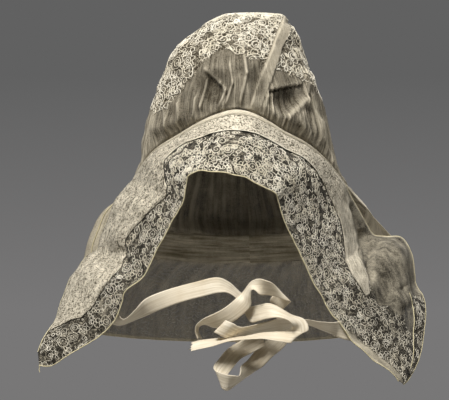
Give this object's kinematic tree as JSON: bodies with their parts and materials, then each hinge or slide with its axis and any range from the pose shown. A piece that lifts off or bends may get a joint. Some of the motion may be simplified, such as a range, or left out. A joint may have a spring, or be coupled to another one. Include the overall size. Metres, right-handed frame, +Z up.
{
  "type": "lace cap",
  "caption": "Worn lace cap with a tall gathered crown, a lace frill round the face that ends in two lappets, a curtain behind and two ribbon ties.",
  "frame": {"origin": "where the cap sits: on top of the head, level with the top of the band at the forehead", "axes": "+Z up, the face looks along -Y, +X on the viewer's right when the cap is seen from the front"},
  "size_m": [0.3731, 0.249, 0.3604],
  "materials": {
    "crown_net": "embroidered cotton net",
    "band_cloth": "fine ruched cotton",
    "frill_lace": "cotton lace",
    "facing_net": "dotted cotton net",
    "curtain_net": "plain cotton net",
    "ribbon": "cream tape"
  },
  "bodies": {
    "root": {"crown": "crown_net", "band": "band_cloth", "front_frill": "frill_lace", "frill_facing": "facing_net", "back_curtain": "curtain_net", "tie_left": "ribbon", "tie_right": "ribbon"}
  },
  "joints": []
}
